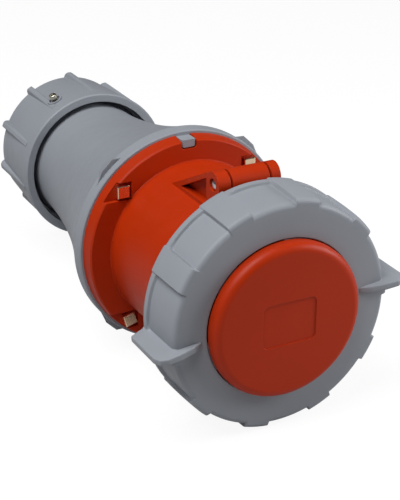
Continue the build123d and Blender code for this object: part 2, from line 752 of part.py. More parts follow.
def make_lid():
    """Disc, neck for the ring's snaps, sealing plate, strap and hinge knuckle, in one."""
    corner = LID_EDGE
    face = LID_FACE
    outline = make_face([
        Polyline((0, PLATE_REAR), (0, face), (LID_R - corner, face)),
        RadiusArc((LID_R - corner, face), (LID_R, face + corner), -corner),
        Polyline(
            (LID_R, face + corner),
            (LID_R, LIP_REAR),
            (LID_NECK_R, LIP_REAR),
            (LID_NECK_R, PLATE_FRONT),
            (LID_PLATE_R, PLATE_FRONT),
            (LID_PLATE_R, PLATE_REAR),
            (0, PLATE_REAR),
        ),
    ])
    lid = revolve(outline, Axis.Y, FULL_TURN)
    cavity = rod(LID_CAVITY_R, face + LID_WALL, PLATE_REAR + 1)
    hub = rod(LID_HUB_R, face + LID_WALL, PLATE_REAR - 1)
    half = LID_RIB_THICK / 2
    for index in range(LID_RIBS):
        rib = block(-half, half, face + LID_WALL, PLATE_REAR - 2, 0, LID_CAVITY_R + 1)
        hub += clock(rib, index * FULL_TURN / LID_RIBS)
    lid -= cavity - hub
    label = extrude(Plane.XZ * RectangleRounded(LABEL_WIDTH, LABEL_HEIGHT, LABEL_CORNER), 5, both=True)
    lid -= Pos(0, face + LABEL_DEPTH - 5, 0) * label
    lid += make_strap()
    groove_front = GASKET_REAR - GASKET_THICK
    lid -= tube(GASKET_OUT_R + SEAT_GAP, GASKET_IN_R - SEAT_GAP, groove_front, PLATE_REAR + 3)
    half = KNUCKLE_WIDTH / 2
    lid += cross_rod(KNUCKLE_R, -half, half, HINGE_Y, HINGE_Z)
    lid -= cross_rod(HINGE_PIN_R + PIN_FIT, -half - 1, half + 1, HINGE_Y, HINGE_Z)
    return lid


def make_strap():
    """The arm that runs back under the ring and rises to the hinge."""
    half = KNUCKLE_WIDTH / 2
    bottom = COLLAR_R + STRAP_GAP
    top = bottom + STRAP_THICK
    turn_y = HINGE_Y - KNUCKLE_R + 0.4
    outline = [
        (PLATE_FRONT + 1, LID_PLATE_R - 6),
        (PLATE_REAR, LID_PLATE_R - 6),
        (PLATE_REAR, bottom),
        (HINGE_Y, bottom),
        (HINGE_Y + KNUCKLE_R * 0.6, bottom + 2.6),
        (HINGE_Y, HINGE_Z),
        (turn_y, HINGE_Z),
        (turn_y - 1.2, top + 1.2),
        (turn_y - 4, top),
        (PLATE_FRONT + 1, top),
    ]
    return side_profile(outline, -half, half)


def make_lid_gasket():
    """Rubber ring in the lid's groove that closes on the collar's rim."""
    front = GASKET_REAR - GASKET_THICK
    return lathe([
        (GASKET_IN_R, front),
        (GASKET_OUT_R, front),
        (GASKET_OUT_R, GASKET_REAR - 0.8),
        (GASKET_OUT_R - 0.8, GASKET_REAR),
        (GASKET_IN_R + 0.8, GASKET_REAR),
        (GASKET_IN_R, GASKET_REAR - 0.8),
    ])


def make_fin():
    """One wing of the ring at the top: a thin fin with a ridge running over the front face."""
    seat = RING_R - PANEL_DEPTH
    top = RING_R + FIN_HEIGHT
    root = RING_MOUTH_R + FIN_ROOT_STEP
    outline = [
        (RING_REAR - 0.5, seat),
        (RING_REAR - 0.5, RING_R),
        (FIN_REAR, top),
        (FIN_FRONT + FIN_CORNER, top),
        (FIN_FRONT + FIN_CORNER * 0.3, top - FIN_CORNER * 0.3),
        (FIN_FRONT, top - FIN_CORNER),
        (FIN_FRONT + FIN_CORNER * 0.15, RING_CHAMFER_R),
        (FIN_FRONT + FIN_CORNER * 0.45, root + FIN_CORNER),
        (RING_FRONT - 0.3, root),
        (RING_FRONT + 1, root),
        (RING_FRONT + 1, seat),
    ]
    return side_profile(outline, -FIN_THICK / 2, FIN_THICK / 2)


def make_panel():
    """The recess behind the first pad, its rear corners rounded, with the lower lip behind it."""
    start = PAD_CLOCK + PAD_SPAN / 2
    span = FULL_TURN / PANELS - PAD_SPAN
    front = RING_FRONT - 1
    floor = RING_R - PANEL_DEPTH
    lip = RING_R - RING_LIP_DEPTH
    outside = RING_R + PANEL_DEPTH
    rear_floor = RING_R - PANEL_REAR_DEPTH
    outline = [(floor, front), (outside, front), (outside, PANEL_REAR), (rear_floor, PANEL_REAR)]
    recess = lathe(outline, start, span)
    rear_wall = recess.faces().sort_by(Axis.Y)[-1]
    recess = fillet(rear_wall.edges().filter_by(GeomType.LINE), PANEL_CORNER)
    front = PANEL_REAR - 1
    rear = RING_REAR + 1
    return recess + lathe([(lip, front), (outside, front), (outside, rear), (lip, rear)], start, span)


def make_bayonet_ring():
    """Turning ring with raised pads, two wings, snap tongues and locking lugs."""
    ring = lathe([
        (RING_MOUTH_R, RING_FRONT + 0.4),
        (RING_MOUTH_R + 0.4, RING_FRONT),
        (RING_CHAMFER_R, RING_FRONT),
        (RING_CHAMFER_R + RING_CHAMFER_WIDTH * 0.68, RING_FRONT + RING_CHAMFER_LENGTH * 0.35),
        (RING_R, RING_FRONT + RING_CHAMFER_LENGTH),
        (RING_R, RING_REAR - 1),
        (RING_R - 1, RING_REAR),
        (RING_INNER_R, RING_REAR),
        (RING_INNER_R, RING_WALL_REAR + 2),
        (RING_INNER_R - 2, RING_WALL_REAR),
        (RING_MOUTH_R, RING_WALL_REAR),
    ])
    panel = make_panel()
    for index in range(PANELS):
        ring -= clock(panel, index * FULL_TURN / PANELS)
    snap_front = RING_FRONT + RING_SNAP_INSET
    snap_rear = snap_front + RING_SNAP_THICK
    tip = LID_NECK_R + RUN_GAP
    root = RING_MOUTH_R + 1
    outline = [
        (tip, snap_front),
        (root, snap_front),
        (root, snap_rear),
        (tip + 1, snap_rear),
        (tip, snap_rear - 1),
    ]
    snap = lathe(outline, 0, RING_SNAP_SPAN)
    for index in range(RING_SNAPS):
        ring += clock(snap, index * FULL_TURN / RING_SNAPS)
    root = RING_INNER_R + 1
    lug_rear = LUG_FRONT + LUG_THICK
    outline = [(LUG_R, LUG_FRONT), (root, LUG_FRONT), (root, lug_rear), (LUG_R, lug_rear)]
    for angle in LUG_CLOCKS:
        ring += lathe(outline, angle - LUG_SPAN / 2, LUG_SPAN)
    for pad in FIN_PADS:
        ring += clock(make_fin(), PAD_CLOCK + pad * FULL_TURN / PANELS)
    return ring


def make_gland_nut():
    """Ribbed cap of the cable gland, with a hole for its lock screw."""
    front = GLAND_FRONT
    end = GLAND_END
    outer = lathe([
        (0, front),
        (GLAND_FRONT_R - 0.8, front),
        (GLAND_FRONT_R, front + 0.8),
        (GLAND_END_R + 0.8, end - GLAND_ROUND),
        (GLAND_END_R - GLAND_ROUND, end),
        (0, end),
    ])
    outer += make_gland_ribs()
    bore_r = THREAD_R + RUN_GAP
    outer -= rod(GLAND_MOUTH_R, front - 1, front + GLAND_MOUTH_LENGTH)
    outer -= rod(bore_r, front, NECK_END + 3)
    outer -= rod(THRUST_R + RUN_GAP, front, end - GLAND_WALL_THICK)
    outer -= rod(GLAND_OPENING_R, front, end + 1)
    outer += clock(radial_rod(LOCK_BOSS_R, bore_r + 1, LOCK_BOSS_TOP, LOCK_SCREW_Y), LOCK_SCREW_CLOCK)
    hole = radial_rod(LOCK_SCREW_R + PIN_FIT, bore_r - 1, LOCK_BOSS_TOP + 1, LOCK_SCREW_Y)
    hole += radial_rod(LOCK_WELL_R, LOCK_BOSS_TOP - LOCK_WELL_DEPTH, LOCK_BOSS_TOP + 1, LOCK_SCREW_Y)
    return outer - clock(hole, LOCK_SCREW_CLOCK)


def make_gland_ribs():
    """Grip ribs whose tops run level, so that they fade into the cone towards the mouth."""
    foot = GLAND_RIB_FOOT / 2
    half = GLAND_RIB_WIDTH / 2
    base = GLAND_END_R - GLAND_ROUND
    section = make_face(Polyline(
        (-foot, base),
        (-foot, GLAND_END_R),
        (-half, GLAND_RIB_R),
        (half, GLAND_RIB_R),
        (foot, GLAND_END_R),
        (foot, base),
        close=True,
    ))
    rib = Pos(0, GLAND_END, 0) * extrude(Plane.XZ * section, GLAND_END - GLAND_RIB_START)
    rib = fillet(rib.edges().filter_by(Axis.Y).sort_by(Axis.Z)[-2:], 1.2)
    ribs = None
    for index in range(GLAND_RIBS):
        piece = clock(rib, GLAND_RIB_CLOCK + index * FULL_TURN / GLAND_RIBS)
        ribs = piece if ribs is None else ribs + piece
    low = GLAND_RIB_R - GLAND_ROUND
    top = GLAND_RIB_R + 1
    end = GLAND_END + 1
    return ribs - lathe([(low, GLAND_END), (top, GLAND_END - GLAND_ROUND - 1), (top, end), (low, end)])


def make_lock_screw():
    """Small cross-head screw that locks the gland nut on the thread."""
    head_low = LOCK_BOSS_TOP + LOCK_HEAD_LIFT
    head_top = head_low + LOCK_HEAD_LENGTH
    screw = radial_rod(LOCK_SCREW_R, THREAD_R + RUN_GAP, head_low, LOCK_SCREW_Y)
    head = radial_rod(LOCK_SCREW_HEAD_R, head_low, head_top, LOCK_SCREW_Y)
    head = fillet(head.edges().sort_by(Axis.Z)[-1], 0.7)
    for turn in (0, QUARTER_TURN):
        slot = Pos(0, LOCK_SCREW_Y, head_top) * Rot(Z=turn) * Box(LOCK_SCREW_HEAD_R * 1.3, 0.7, 2.0)
        head -= slot
    screw += head
    return clock(screw, LOCK_SCREW_CLOCK)


def make_thrust_ring():
    """Slip ring that carries the nut's push to the clamping fingers without turning."""
    return lathe([
        (THRUST_INNER_R, THRUST_REAR),
        (THRUST_R, THRUST_REAR),
        (THRUST_R, THRUST_FRONT),
        (CAGE_R + 0.4, THRUST_FRONT),
        (THRUST_INNER_R, THRUST_REAR - 1.6),
    ])


def make_clamp_cage():
    """Ring of springy fingers around the seal; the thrust ring's cone bends them inwards."""
    front = NECK_STEP
    finger_end = THRUST_FRONT + 1.2
    cage = lathe([
        (CAGE_INNER_R, front),
        (CAGE_R, front),
        (CAGE_R, finger_end - 3.6),
        (CAGE_INNER_R + 1.0, finger_end),
        (CAGE_INNER_R, finger_end),
    ])
    for index in range(CAGE_FINGERS):
        slot = block(
            -CAGE_SLOT / 2, CAGE_SLOT / 2, front + CAGE_BASE, finger_end + 1, CAGE_INNER_R - 4, CAGE_R + 2
        )
        cage -= clock(slot, index * FULL_TURN / CAGE_FINGERS)
    return cage


def make_cable_seal():
    """Rubber grommet with ring-shaped cuts, so that it can be peeled out to the cable's size."""
    front = NECK_STEP
    end = THRUST_FRONT - 2.0
    seal = tube(SEAL_R, SEAL_BORE_R, front, end)
    for radius in SEAL_RIMS:
        seal -= tube(radius + SEAL_RIM_CUT, radius, end - SEAL_RIM_DEPTH, end + 1)
    return seal


def build_nodes():
    """All nodes of the connector by name."""
    nodes = {
        "front_housing": make_front_housing(),
        "rear_housing": make_rear_housing(),
        "housing_gasket": make_housing_gasket(),
        "flange_nuts": make_flange_nuts(),
        "flange_screws": make_flange_screws(),
        "face_plate": make_face_plate(),
        "contact_carrier": make_contact_carrier(),
        "terminal_block": make_terminal_block(),
        "retaining_plate": make_retaining_plate(),
        "carrier_screws": make_carrier_screws(),
        "hinge_pin": make_hinge_pin(),
        "lid": make_lid(),
        "lid_gasket": make_lid_gasket(),
        "bayonet_ring": make_bayonet_ring(),
        "gland_nut": make_gland_nut(),
        "lock_screw": make_lock_screw(),
        "thrust_ring": make_thrust_ring(),
        "clamp_cage": make_clamp_cage(),
        "cable_seal": make_cable_seal(),
    }
    nodes["terminal_screws"] = make_terminal_screws()
    for contact in contact_table():
        nodes[contact.name] = make_contact(contact)
    return nodes


def main():
    """Write every node to its own file."""
    os.makedirs("parts", exist_ok=True)
    for name, shape in build_nodes().items():
        export_step(shape, f"parts/{name}.step")


if __name__ == "__main__":
    main()
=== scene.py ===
import math

import bmesh
import bpy
from bpy.props import FloatProperty, FloatVectorProperty, PointerProperty
from bpy.types import Operator, Panel, PropertyGroup
from mathutils import Matrix, Vector


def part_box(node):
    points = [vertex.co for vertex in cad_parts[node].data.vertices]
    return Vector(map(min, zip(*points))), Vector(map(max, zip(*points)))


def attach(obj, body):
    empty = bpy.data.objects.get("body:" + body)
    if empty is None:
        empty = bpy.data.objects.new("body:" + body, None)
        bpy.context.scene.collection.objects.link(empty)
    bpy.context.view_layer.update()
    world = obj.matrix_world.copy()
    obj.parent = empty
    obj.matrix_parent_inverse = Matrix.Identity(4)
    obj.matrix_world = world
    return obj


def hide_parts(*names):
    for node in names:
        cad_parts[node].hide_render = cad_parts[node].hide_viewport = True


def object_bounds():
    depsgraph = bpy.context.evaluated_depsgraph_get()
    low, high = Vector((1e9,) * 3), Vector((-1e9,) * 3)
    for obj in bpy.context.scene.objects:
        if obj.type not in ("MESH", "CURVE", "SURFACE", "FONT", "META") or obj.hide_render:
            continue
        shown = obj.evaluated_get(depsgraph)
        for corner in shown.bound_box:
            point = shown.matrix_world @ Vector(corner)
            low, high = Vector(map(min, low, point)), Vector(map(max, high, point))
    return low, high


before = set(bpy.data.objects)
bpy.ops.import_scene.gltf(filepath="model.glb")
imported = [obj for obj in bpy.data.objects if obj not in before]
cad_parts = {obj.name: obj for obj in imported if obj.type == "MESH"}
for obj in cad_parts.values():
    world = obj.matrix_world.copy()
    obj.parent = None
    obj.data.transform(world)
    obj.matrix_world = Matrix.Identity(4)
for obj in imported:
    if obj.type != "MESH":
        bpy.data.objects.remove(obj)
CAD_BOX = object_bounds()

bl_info = {
    "name": "Pin and sleeve connector looks",
    "version": (1, 0, 0),
    "blender": (4, 5, 0),
    "location": "3D View > Sidebar > Connector",
    "description": "Finishes, small fittings and stage for a 125 A cable connector with lid and gland",
    "category": "Object",
}

# The finish that each node of the frame wears
RED_MOULDINGS = ("front_housing", "lid")
GREY_MOULDINGS = ("rear_housing", "gland_nut")
RUBBER_SEALS = ("housing_gasket", "lid_gasket", "cable_seal")
INSULATORS = ("contact_carrier", "face_plate", "terminal_block", "retaining_plate")
GLAND_INSERTS = ("clamp_cage", "thrust_ring")
BRASS_CONTACTS = ("contact_earth", "contact_l1", "contact_l2", "contact_l3", "pilot_contact")
PLATED_STEEL = ("flange_nuts",)
BRIGHT_STEEL = ("carrier_screws", "terminal_screws")
YELLOW_STEEL = ("lock_screw",)

# How the bayonet ring's forms lie round its clock, in degrees from the top, seen from the lid
PADS = 10
PAD_PITCH = 360.0 / PADS
FIRST_PAD = 12.5
WINGS = (84.5, 264.5)
WING_PAD_STUB = 1.6
SNAPS = 6
SNAP_SPAN = 22.0
LUGS = (30.0, 120.0, 210.0, 300.0)
LUG_SPAN = 13.0

# How finely the ring is divided: degrees round the clock, close at the pads' sides, and rows of its section
CLOSE_STEP = 0.16
CLOSE_STEPS = 5
WIDE_STEP = 2.2
BLOCK_STEP = 2.0
CORNER_ROWS = 10
FLOOR_ROWS = 8
WALL_ROWS = 4
WALL_STEP = 0.0002
WALL_APPROACH = 0.0014

# Small lengths of the ring's section, in metres
MOUTH_EDGE = 0.0004
FACE_ROWS = (0.009, 0.013)
RIM_ROW = 0.0022
RIM_EDGE = 0.001
RIM_BEVEL = 0.0003
INNER_BEVEL = 0.002

# A wing's outline, in metres: its rear end, its nose, and the ridge that it sends down the front face
WING_SET_BACK = 0.0006
WING_SINK = 0.0002
WING_REAR_SLOPE = 0.0045
WING_NOSE = 0.006
WING_NOSE_CUT = 0.0018
WING_ROOT = 0.001
RIDGE_TOP_DROP = 0.005
RIDGE_TOP_BACK = 0.0009
RIDGE_END_OUT = 0.009
RIDGE_END_BACK = 0.0027
RIDGE_FOOT_OUT = 0.003
RIDGE_FOOT_RISE = 0.0003

# Snap tongues and lugs, in metres: how far they reach inwards, and where they lie along the axis
CATCH_ROOT = 0.001
TONGUE_REACH = 0.0027
TONGUE_BEVEL = 0.001
TONGUE_SET_BACK = 0.0009
TONGUE_LENGTH = 0.0026
LUG_REACH = 0.0057
LUG_FRONT = 0.0049
LUG_REAR = 0.0009

# Clock angle of each flange screw, and how far its head is turned on its own axis
SCREW_CLOCKS = (43.2, 133.2, 223.2, 313.2)
HEAD_TURNS = (0.0, 0.0, -17.0, 0.0)
SHANK_SIDES = 30
SHANK_OVERLAP = 0.001

# The hinge pin's dome, as a share of its head's length, its end's bevel and its sides
DOME_SHARE = 0.7
DOME_ROWS = 8
PIN_BEVEL = 0.0004
PIN_SIDES = 40

# Edges that turn by more than this, in degrees, stay sharp
RING_SHARP = 32.0
SCREW_SHARP = 30.0
PIN_SHARP = 40.0

# Sizes of the finishes' marks, in metres
FLOW_MARKS = 0.035
GLOSS_PATCHES = 0.008
METAL_STAINS = 0.004
METAL_EDGE = 0.00025
SCRATCH_DEPTH = 0.00001
RUBBER_BLOOM = 0.003
RUBBER_SKIN = 0.0005
RUBBER_SKIN_DEPTH = 0.00002

# Where the soft lights stand from the connector's middle, and how wide they are, in metres
KEY_PLACE = Vector((-0.6, -0.2, 1.25))
KEY_WIDTH = 1.0
FILL_PLACE = Vector((0.5, -0.3, 0.2))
FILL_WIDTH = 0.3
FLOOR_GLOW = 1.15


def colour_property(name, description, default):
    """A colour that the user can change."""
    return FloatVectorProperty(
        name=name, description=description, default=default, subtype="COLOR", min=0.0, max=1.0
    )


def length_property(name, description, default):
    """A length in metres that the user can change."""
    return FloatProperty(
        name=name, description=description, default=default, min=0.0, unit="LENGTH", precision=5
    )


def factor_property(name, description, default):
    """A share from nothing to all that the user can change."""
    return FloatProperty(
        name=name, description=description, default=default, min=0.0, max=1.0, subtype="FACTOR"
    )


class PlasticSettings(PropertyGroup):
    """Colours and surface of the moulded plastic."""

    red: colour_property("Red", "Pigment of the housing and lid", (0.43, 0.026, 0.0015))
    grey: colour_property("Grey", "Pigment of the rear housing, ring and gland nut", (0.282, 0.30, 0.332))
    insulator: colour_property("Insulator", "Pigment of the contact carrier", (0.72, 0.71, 0.67))
    black: colour_property("Black", "Pigment of the gland's inner parts", (0.018, 0.018, 0.02))
    roughness: factor_property("Roughness", "Roughness of the moulded surface", 0.42)
    gloss: factor_property("Gloss", "Strength of the moulded surface's reflections", 0.18)
    grain: length_property("Grain", "Size of the mould's fine grain", 0.0004)
    grain_depth: length_property("Grain depth", "Height of the mould's fine grain", 0.00001)
    edge_round: length_property("Edge round", "Radius that rounds the moulded edges to the eye", 0.0005)


class MetalSettings(PropertyGroup):
    """Colours and surface of the metal pieces."""

    nickel: colour_property("Nickel", "Plating of the flange screws and nuts", (0.92, 0.69, 0.47))
    steel: colour_property("Steel", "Bright zinc of screws and hinge pin", (0.66, 0.67, 0.70))
    yellow: colour_property("Yellow zinc", "Yellow zinc of the lock screw", (0.66, 0.62, 0.50))
    brass: colour_property("Brass", "Turned brass of the contacts", (0.78, 0.56, 0.22))
    roughness: factor_property("Roughness", "Roughness of the plated metal", 0.22)
    scratch: length_property("Scratch", "Spacing of the fine scratches", 0.0004)


class RubberSettings(PropertyGroup):
    """Colour and surface of the seals."""

    colour: colour_property("Colour", "Colour of the rubber", (0.012, 0.012, 0.013))
    roughness: factor_property("Roughness", "Roughness of the rubber", 0.7)


class RingSettings(PropertyGroup):
    """Sizes of the bayonet ring's moulding."""

    radius: length_property("Radius", "Radius over the pads", 0.065)
    length: length_property("Length", "From the front face to the rear rim", 0.0306)
    mouth: length_property("Mouth", "Radius of the hole round the lid's disc", 0.0434)
    wall: length_property("Wall", "Thickness of the ring's side", 0.0067)
    front_wall: length_property("Front wall", "Thickness of the ring's front", 0.0038)
    pad_round: length_property("Pad round", "Radius of a pad's front corner", 0.0024)
    pad_taper: length_property("Pad taper", "How far a pad's front end lies under its rear end", 0.0011)
    panel_round: length_property("Panel round", "Radius of the front corner under a panel", 0.0029)
    pad_span: FloatProperty(
        name="Pad span",
        description="Width of a pad round the ring",
        default=math.radians(13.0),
        subtype="ANGLE",
        unit="ROTATION",
    )
    panel_depth: length_property("Panel depth", "Depth of a panel between two pads, at its front", 0.0030)
    panel_rear_depth: length_property("Panel rear depth", "Depth of a panel at its rear", 0.0023)
    panel_margin: length_property("Panel margin", "From a panel's rear wall to the ring's rear rim", 0.0044)
    panel_corner: length_property("Panel corner", "Radius of a panel's rear corners", 0.0024)
    lip_depth: length_property("Lip depth", "Depth of the rim behind a panel", 0.0007)
    softness: length_property("Softness", "Half the width of the slope between a pad and a panel", 0.0004)
    wing_height: length_property("Wing height", "How far a wing stands out from the pads", 0.0084)
    wing_thickness: length_property("Wing thickness", "Thickness of a wing", 0.0034)
    wing_edge: length_property("Wing edge", "Rounding of a wing's edges", 0.0011)


class PinSettings(PropertyGroup):
    """Sizes of the hinge pin."""

    shaft: length_property("Shaft", "Radius of the pin's shaft", 0.0025)
    head_length: length_property("Head length", "Length of the pin's head with its dome", 0.0034)
    head_rise: length_property("Head rise", "How far the dome stands out past the plain pin's head", 0.0011)


class ScrewSettings(PropertyGroup):
    """Sizes of the square-headed flange screws."""

    circle: length_property("Circle", "Radius of the circle that the screws stand on", 0.0558)
    side: length_property("Side", "Width of a square head", 0.0070)
    edge: length_property("Edge", "Bevel round a head's front", 0.00035)
    head_length: length_property("Head length", "Length of a head along the screw", 0.0036)
    shank: length_property("Shank", "Radius of a shank", 0.0025)


class StageSettings(PropertyGroup):
    """Camera, lights and floor."""

    camera_place: FloatVectorProperty(
        name="Camera place",
        description="Where the camera stands",
        default=(-0.33153, -0.55692, 0.33403),
        subtype="TRANSLATION",
        unit="LENGTH",
    )
    camera_tilt: FloatProperty(
        name="Camera tilt",
        description="Angle of the view up from straight down",
        default=math.radians(65.098),
        subtype="ANGLE",
        unit="ROTATION",
    )
    camera_turn: FloatProperty(
        name="Camera turn",
        description="Heading of the view, to the right of the connector's axis",
        default=math.radians(-27.432),
        subtype="ANGLE",
        unit="ROTATION",
    )
    camera_roll: FloatProperty(
        name="Camera roll",
        description="Turn of the view about its own axis",
        default=math.radians(0.08),
        subtype="ANGLE",
        unit="ROTATION",
    )
    camera_lens: FloatProperty(
        name="Lens",
        description="Focal length of the camera for a 36 mm sensor",
        default=101.69,
        subtype="DISTANCE_CAMERA",
    )
    floor_colour: colour_property("Floor", "Colour of the pale floor", (0.5, 0.5, 0.5))
    floor_size: length_property("Floor size", "Half the width of the floor", 6.0)
    floor_white: factor_property("Floor white", "How far the camera sees the floor as plain white", 0.8)
    key_power: FloatProperty(
        name="Key light", description="Power of the large soft light overhead", default=23.0, subtype="POWER"
    )
    fill_power: FloatProperty(
        name="Fill light",
        description="Power of the soft light in front, on the right",
        default=2.2,
        subtype="POWER",
    )
    sky: factor_property("Sky", "Strength of the even light from all round", 0.05)


def node(tree, kind, inputs=None, **settings):
    """Add a shader node, set its options, and feed its inputs with values or with other nodes."""
    made = tree.nodes.new(kind)
    for name, value in settings.items():
        setattr(made, name, value)
    for name, value in (inputs or {}).items():
        if isinstance(value, bpy.types.NodeSocket):
            tree.links.new(value, made.inputs[name])
        else:
            made.inputs[name].default_value = value
    return made


def blank_material(name):
    """A material with an empty node tree, and that tree."""
    material = bpy.data.materials.new(name)
    material.use_nodes = True
    material.node_tree.nodes.clear()
    return material, material.node_tree


def noise(tree, size, detail=2.0, roughness=0.5, stretch=(1.0, 1.0, 1.0)):
    """Noise with features of about that size, in metres, fixed to the piece."""
    place = node(tree, "ShaderNodeTexCoord").outputs["Object"]
    scaled = node(tree, "ShaderNodeMapping", {"Vector": place, "Scale": stretch})
    made = node(
        tree,
        "ShaderNodeTexNoise",
        {"Vector": scaled.outputs["Vector"], "Scale": 1.0 / size, "Detail": detail, "Roughness": roughness},
    )
    return made.outputs["Fac"]


def tinted(tree, colour, share, field):
    """The colour, a little lighter and darker where a noise field is high or low."""
    light = [min(1.0, c * (1.0 + share)) for c in colour] + [1.0]
    dark = [c * (1.0 - share) for c in colour] + [1.0]
    mix = node(tree, "ShaderNodeMix", data_type="RGBA")
    tree.links.new(field, mix.inputs["Factor"])
    mix.inputs["A"].default_value = dark
    mix.inputs["B"].default_value = light
    return mix.outputs["Result"]


def spread(tree, field, low, high):
    """A noise field spread over a range of values."""
    return node(
        tree,
        "ShaderNodeMapRange",
        {"Value": field, "From Min": 0.3, "From Max": 0.7, "To Min": low, "To Max": high},
    ).outputs["Result"]


def finish_shader(tree, **inputs):
    """End a tree in a principled shader with these inputs."""
    names = {key.replace("_", " ").title().replace("Ior", "IOR"): value for key, value in inputs.items()}
    shader = node(tree, "ShaderNodeBsdfPrincipled", names)
    node(tree, "ShaderNodeOutputMaterial", {"Surface": shader.outputs["BSDF"]})


def moulded_plastic(name, colour, settings, edge_round):
    """Satin moulded plastic: fine mould grain, faint flow marks, uneven gloss and rounded edges."""
    material, tree = blank_material(name)
    flow = noise(tree, FLOW_MARKS, 3.0, 0.55)
    patches = noise(tree, GLOSS_PATCHES, 4.0, 0.6)
    grain = noise(tree, settings.grain, 2.0, 0.5)
    rounded = node(tree, "ShaderNodeBevel", {"Radius": edge_round}, samples=8)
    bump = node(
        tree,
        "ShaderNodeBump",
        {
            "Height": grain,
            "Distance": settings.grain_depth,
            "Strength": 1.0,
            "Normal": rounded.outputs["Normal"],
        },
    )
    finish_shader(
        tree,
        base_color=tinted(tree, colour, 0.06, flow),
        roughness=spread(tree, patches, settings.roughness - 0.05, settings.roughness + 0.06),
        specular_ior_level=settings.gloss,
        normal=bump.outputs["Normal"],
    )
    return material


def plated_metal(name, colour, settings, stretch=(1.0, 1.0, 1.0)):
    """Plated or turned metal with fine scratches and uneven gloss."""
    material, tree = blank_material(name)
    stain = noise(tree, METAL_STAINS, 3.0, 0.6)
    scratch = noise(tree, settings.scratch, 2.0, 0.6, stretch)
    rounded = node(tree, "ShaderNodeBevel", {"Radius": METAL_EDGE}, samples=4)
    bump = node(
        tree,
        "ShaderNodeBump",
        {
            "Height": scratch,
            "Distance": SCRATCH_DEPTH,
            "Strength": 1.0,
            "Normal": rounded.outputs["Normal"],
        },
    )
    finish_shader(
        tree,
        base_color=tinted(tree, colour, 0.1, stain),
        metallic=1.0,
        roughness=spread(tree, scratch, settings.roughness - 0.06, settings.roughness + 0.12),
        normal=bump.outputs["Normal"],
    )
    return material


def soft_rubber(name, settings):
    """Dull black rubber with a fine bloom."""
    material, tree = blank_material(name)
    bloom = noise(tree, RUBBER_BLOOM, 4.0, 0.6)
    skin = noise(tree, RUBBER_SKIN, 2.0, 0.5)
    bump = node(tree, "ShaderNodeBump", {"Height": skin, "Distance": RUBBER_SKIN_DEPTH, "Strength": 1.0})
    finish_shader(
        tree,
        base_color=tinted(tree, settings.colour, 0.35, bloom),
        roughness=spread(tree, bloom, settings.roughness - 0.1, settings.roughness + 0.1),
        normal=bump.outputs["Normal"],
    )
    return material


def wear(names, material):
    """Give these nodes of the frame a finish."""
    for name in names:
        mesh_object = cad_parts[name]
        if not mesh_object.material_slots:
            mesh_object.data.materials.append(material)
        for slot in mesh_object.material_slots:
            slot.material = material


def join_rows(work, rows, ring=False):
    """Join rows of points, each a closed loop, into one skin that closes on itself or has two ends."""
    loops = [[work.verts.new(point) for point in row] for row in rows]
    pairs = list(zip(loops, loops[1:]))
    if ring:
        pairs.append((loops[-1], loops[0]))
    else:
        work.faces.new(loops[0])
        work.faces.new(reversed(loops[-1]))
    for near, far in pairs:
        for index in range(len(near)):
            before = index - 1
            work.faces.new((near[before], near[index], far[index], far[before]))


def clock_point(radius, y, degrees):
    """The point at a radius and a clock angle, in the plane across the axis at y."""
    angle = math.radians(degrees)
    return Vector((radius * math.sin(angle), y, radius * math.cos(angle)))


def clock_block(work, outline, start, span):
    """A block with an outline of (radius, y) points, swept round the axis from a clock angle."""
    steps = max(2, round(span / BLOCK_STEP))
    angles = [start + span * index / steps for index in range(steps + 1)]
    join_rows(work, [[clock_point(radius, y, angle) for radius, y in outline] for angle in angles])


def mesh_piece(name, fill):
    """A new object with the mesh that a function fills."""
    data = bpy.data.meshes.new(name)
    work = bmesh.new()
    fill(work)
    bmesh.ops.recalc_face_normals(work, faces=work.faces)
    work.to_mesh(data)
    work.free()
    piece = bpy.data.objects.new(name, data)
    bpy.context.scene.collection.objects.link(piece)
    return piece


def fuse(piece, addition):
    """Unite a piece with another that reaches into it, and drop the other."""
    union = piece.modifiers.new("Fuse", "BOOLEAN")
    union.operation = "UNION"
    union.solver = "EXACT"
    union.object = addition
    depsgraph = bpy.context.evaluated_depsgraph_get()
    fused = bpy.data.meshes.new_from_object(piece.evaluated_get(depsgraph))
    fused.name = piece.name
    piece.modifiers.clear()
    piece.data = fused
    bpy.data.objects.remove(addition)


def finish_piece(piece, material, body, replaced, sharp_degrees):
    """Shade a piece, give it its finish, hang it on its body and hide the node of the frame that it replaces.
    """
    piece.data.materials.clear()
    piece.data.materials.append(material)
    for face in piece.data.polygons:
        face.use_smooth = True
    piece.data.set_sharp_from_angle(angle=math.radians(sharp_degrees))
    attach(piece, body)
    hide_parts(replaced)


def ease(value, width):
    """A smooth step from nothing to all across twice a width about zero."""
    share = min(1.0, max(0.0, (value / width + 1.0) / 2.0))
    return share * share * (3.0 - 2.0 * share)


def pad_table(settings):
    """The clock angles where every pad starts and ends. A wing stands at its pad's upper edge."""
    half = math.degrees(settings.pad_span) / 2
    table = []
    for pad in range(PADS):
        middle = FIRST_PAD + pad * PAD_PITCH
        before = WING_PAD_STUB if middle == WINGS[0] else half
        after = WING_PAD_STUB if middle == WINGS[1] else half
        table.append((middle - before, middle + after))
    return table


def metres_into_panel(settings, degrees):
    """How far a clock angle lies past the side of the pad nearest to it, negative on a pad."""
    distances = []
    for start, end in pad_table(settings):
        half = (end - start) / 2
        offset = (degrees - start - half + 180.0) % 360.0 - 180.0
        distances.append(abs(offset) - half)
    return math.radians(min(distances)) * settings.radius


